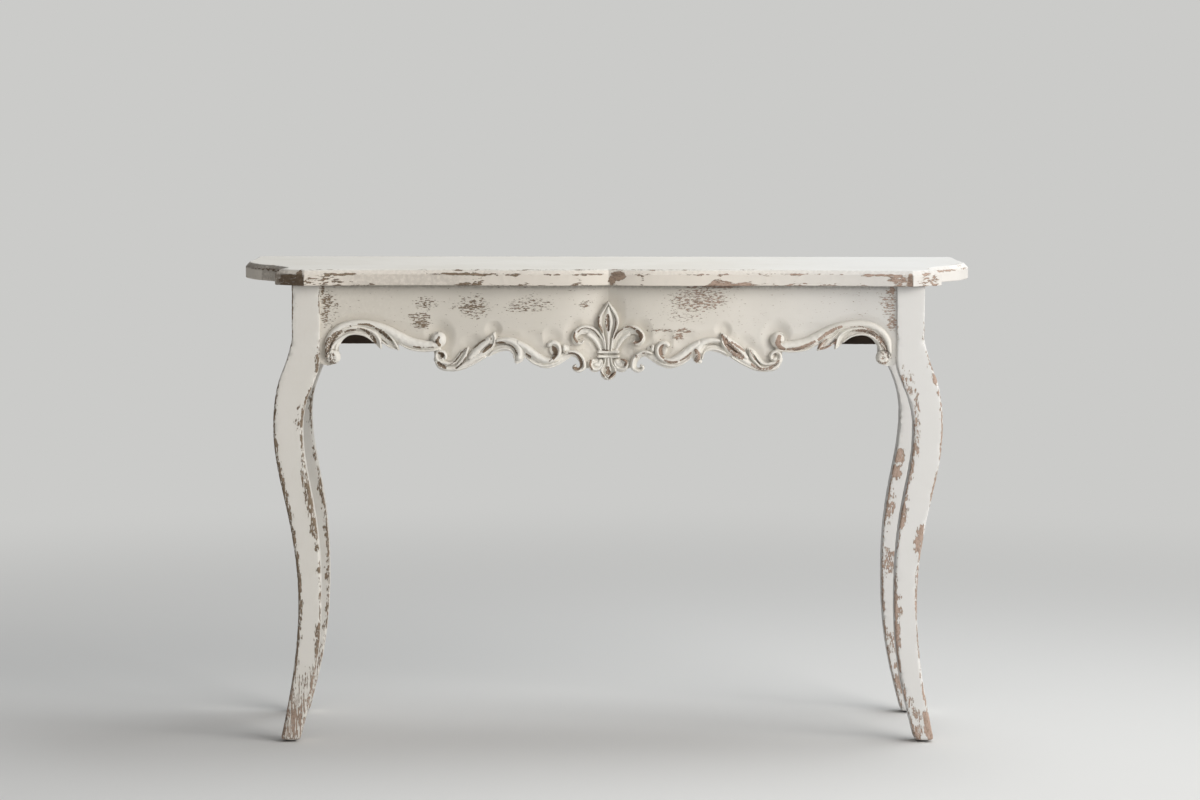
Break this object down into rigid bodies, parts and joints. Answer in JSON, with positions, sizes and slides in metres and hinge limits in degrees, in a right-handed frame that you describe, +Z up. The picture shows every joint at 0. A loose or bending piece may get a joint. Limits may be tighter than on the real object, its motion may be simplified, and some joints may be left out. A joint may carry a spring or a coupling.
{
  "type": "pier table",
  "caption": "Narrow wall-side table with a serpentine top, cabriole legs and a carved, scalloped front apron.",
  "frame": {"origin": "on the floor under the middle of the top", "axes": "+X along the table's length, +Y towards the wall behind it, +Z up"},
  "size_m": [1.234, 0.38, 0.797],
  "materials": {
    "distressed_paint": "chalky warm off-white paint, rubbed and chipped down to brown wood",
    "bare_wood": "sawn and planed, no finish",
    "steel": "zinc-plated",
    "glide_nylon": "moulded grey nylon"
  },
  "bodies": {
    "root": {"top_board_front": "distressed_paint", "top_board_middle": "distressed_paint", "top_board_back": "distressed_paint", "front_apron": "distressed_paint", "back_apron": "distressed_paint", "side_apron_left": "distressed_paint", "side_apron_right": "distressed_paint", "fleur_de_lis": "distressed_paint", "leg_front_left": "distressed_paint", "leg_front_right": "distressed_paint", "leg_back_left": "distressed_paint", "leg_back_right": "distressed_paint", "end_arch_scroll_left": "distressed_paint", "end_arch_scroll_right": "distressed_paint", "leaf_scroll_left": "distressed_paint", "leaf_scroll_right": "distressed_paint", "wave_scroll_left": "distressed_paint", "wave_scroll_right": "distressed_paint", "inner_scroll_left": "distressed_paint", "inner_scroll_right": "distressed_paint", "corner_block_front_left": "bare_wood", "corner_block_front_right": "bare_wood", "corner_block_back_left": "bare_wood", "corner_block_back_right": "bare_wood", "centre_brace": "bare_wood", "glue_blocks": "bare_wood", "top_dowels": "bare_wood", "corner_block_screws": "steel", "top_screws": "steel", "glide_nails": "steel", "glide_front_left": "glide_nylon", "glide_front_right": "glide_nylon", "glide_back_left": "glide_nylon", "glide_back_right": "glide_nylon"}
  },
  "joints": []
}
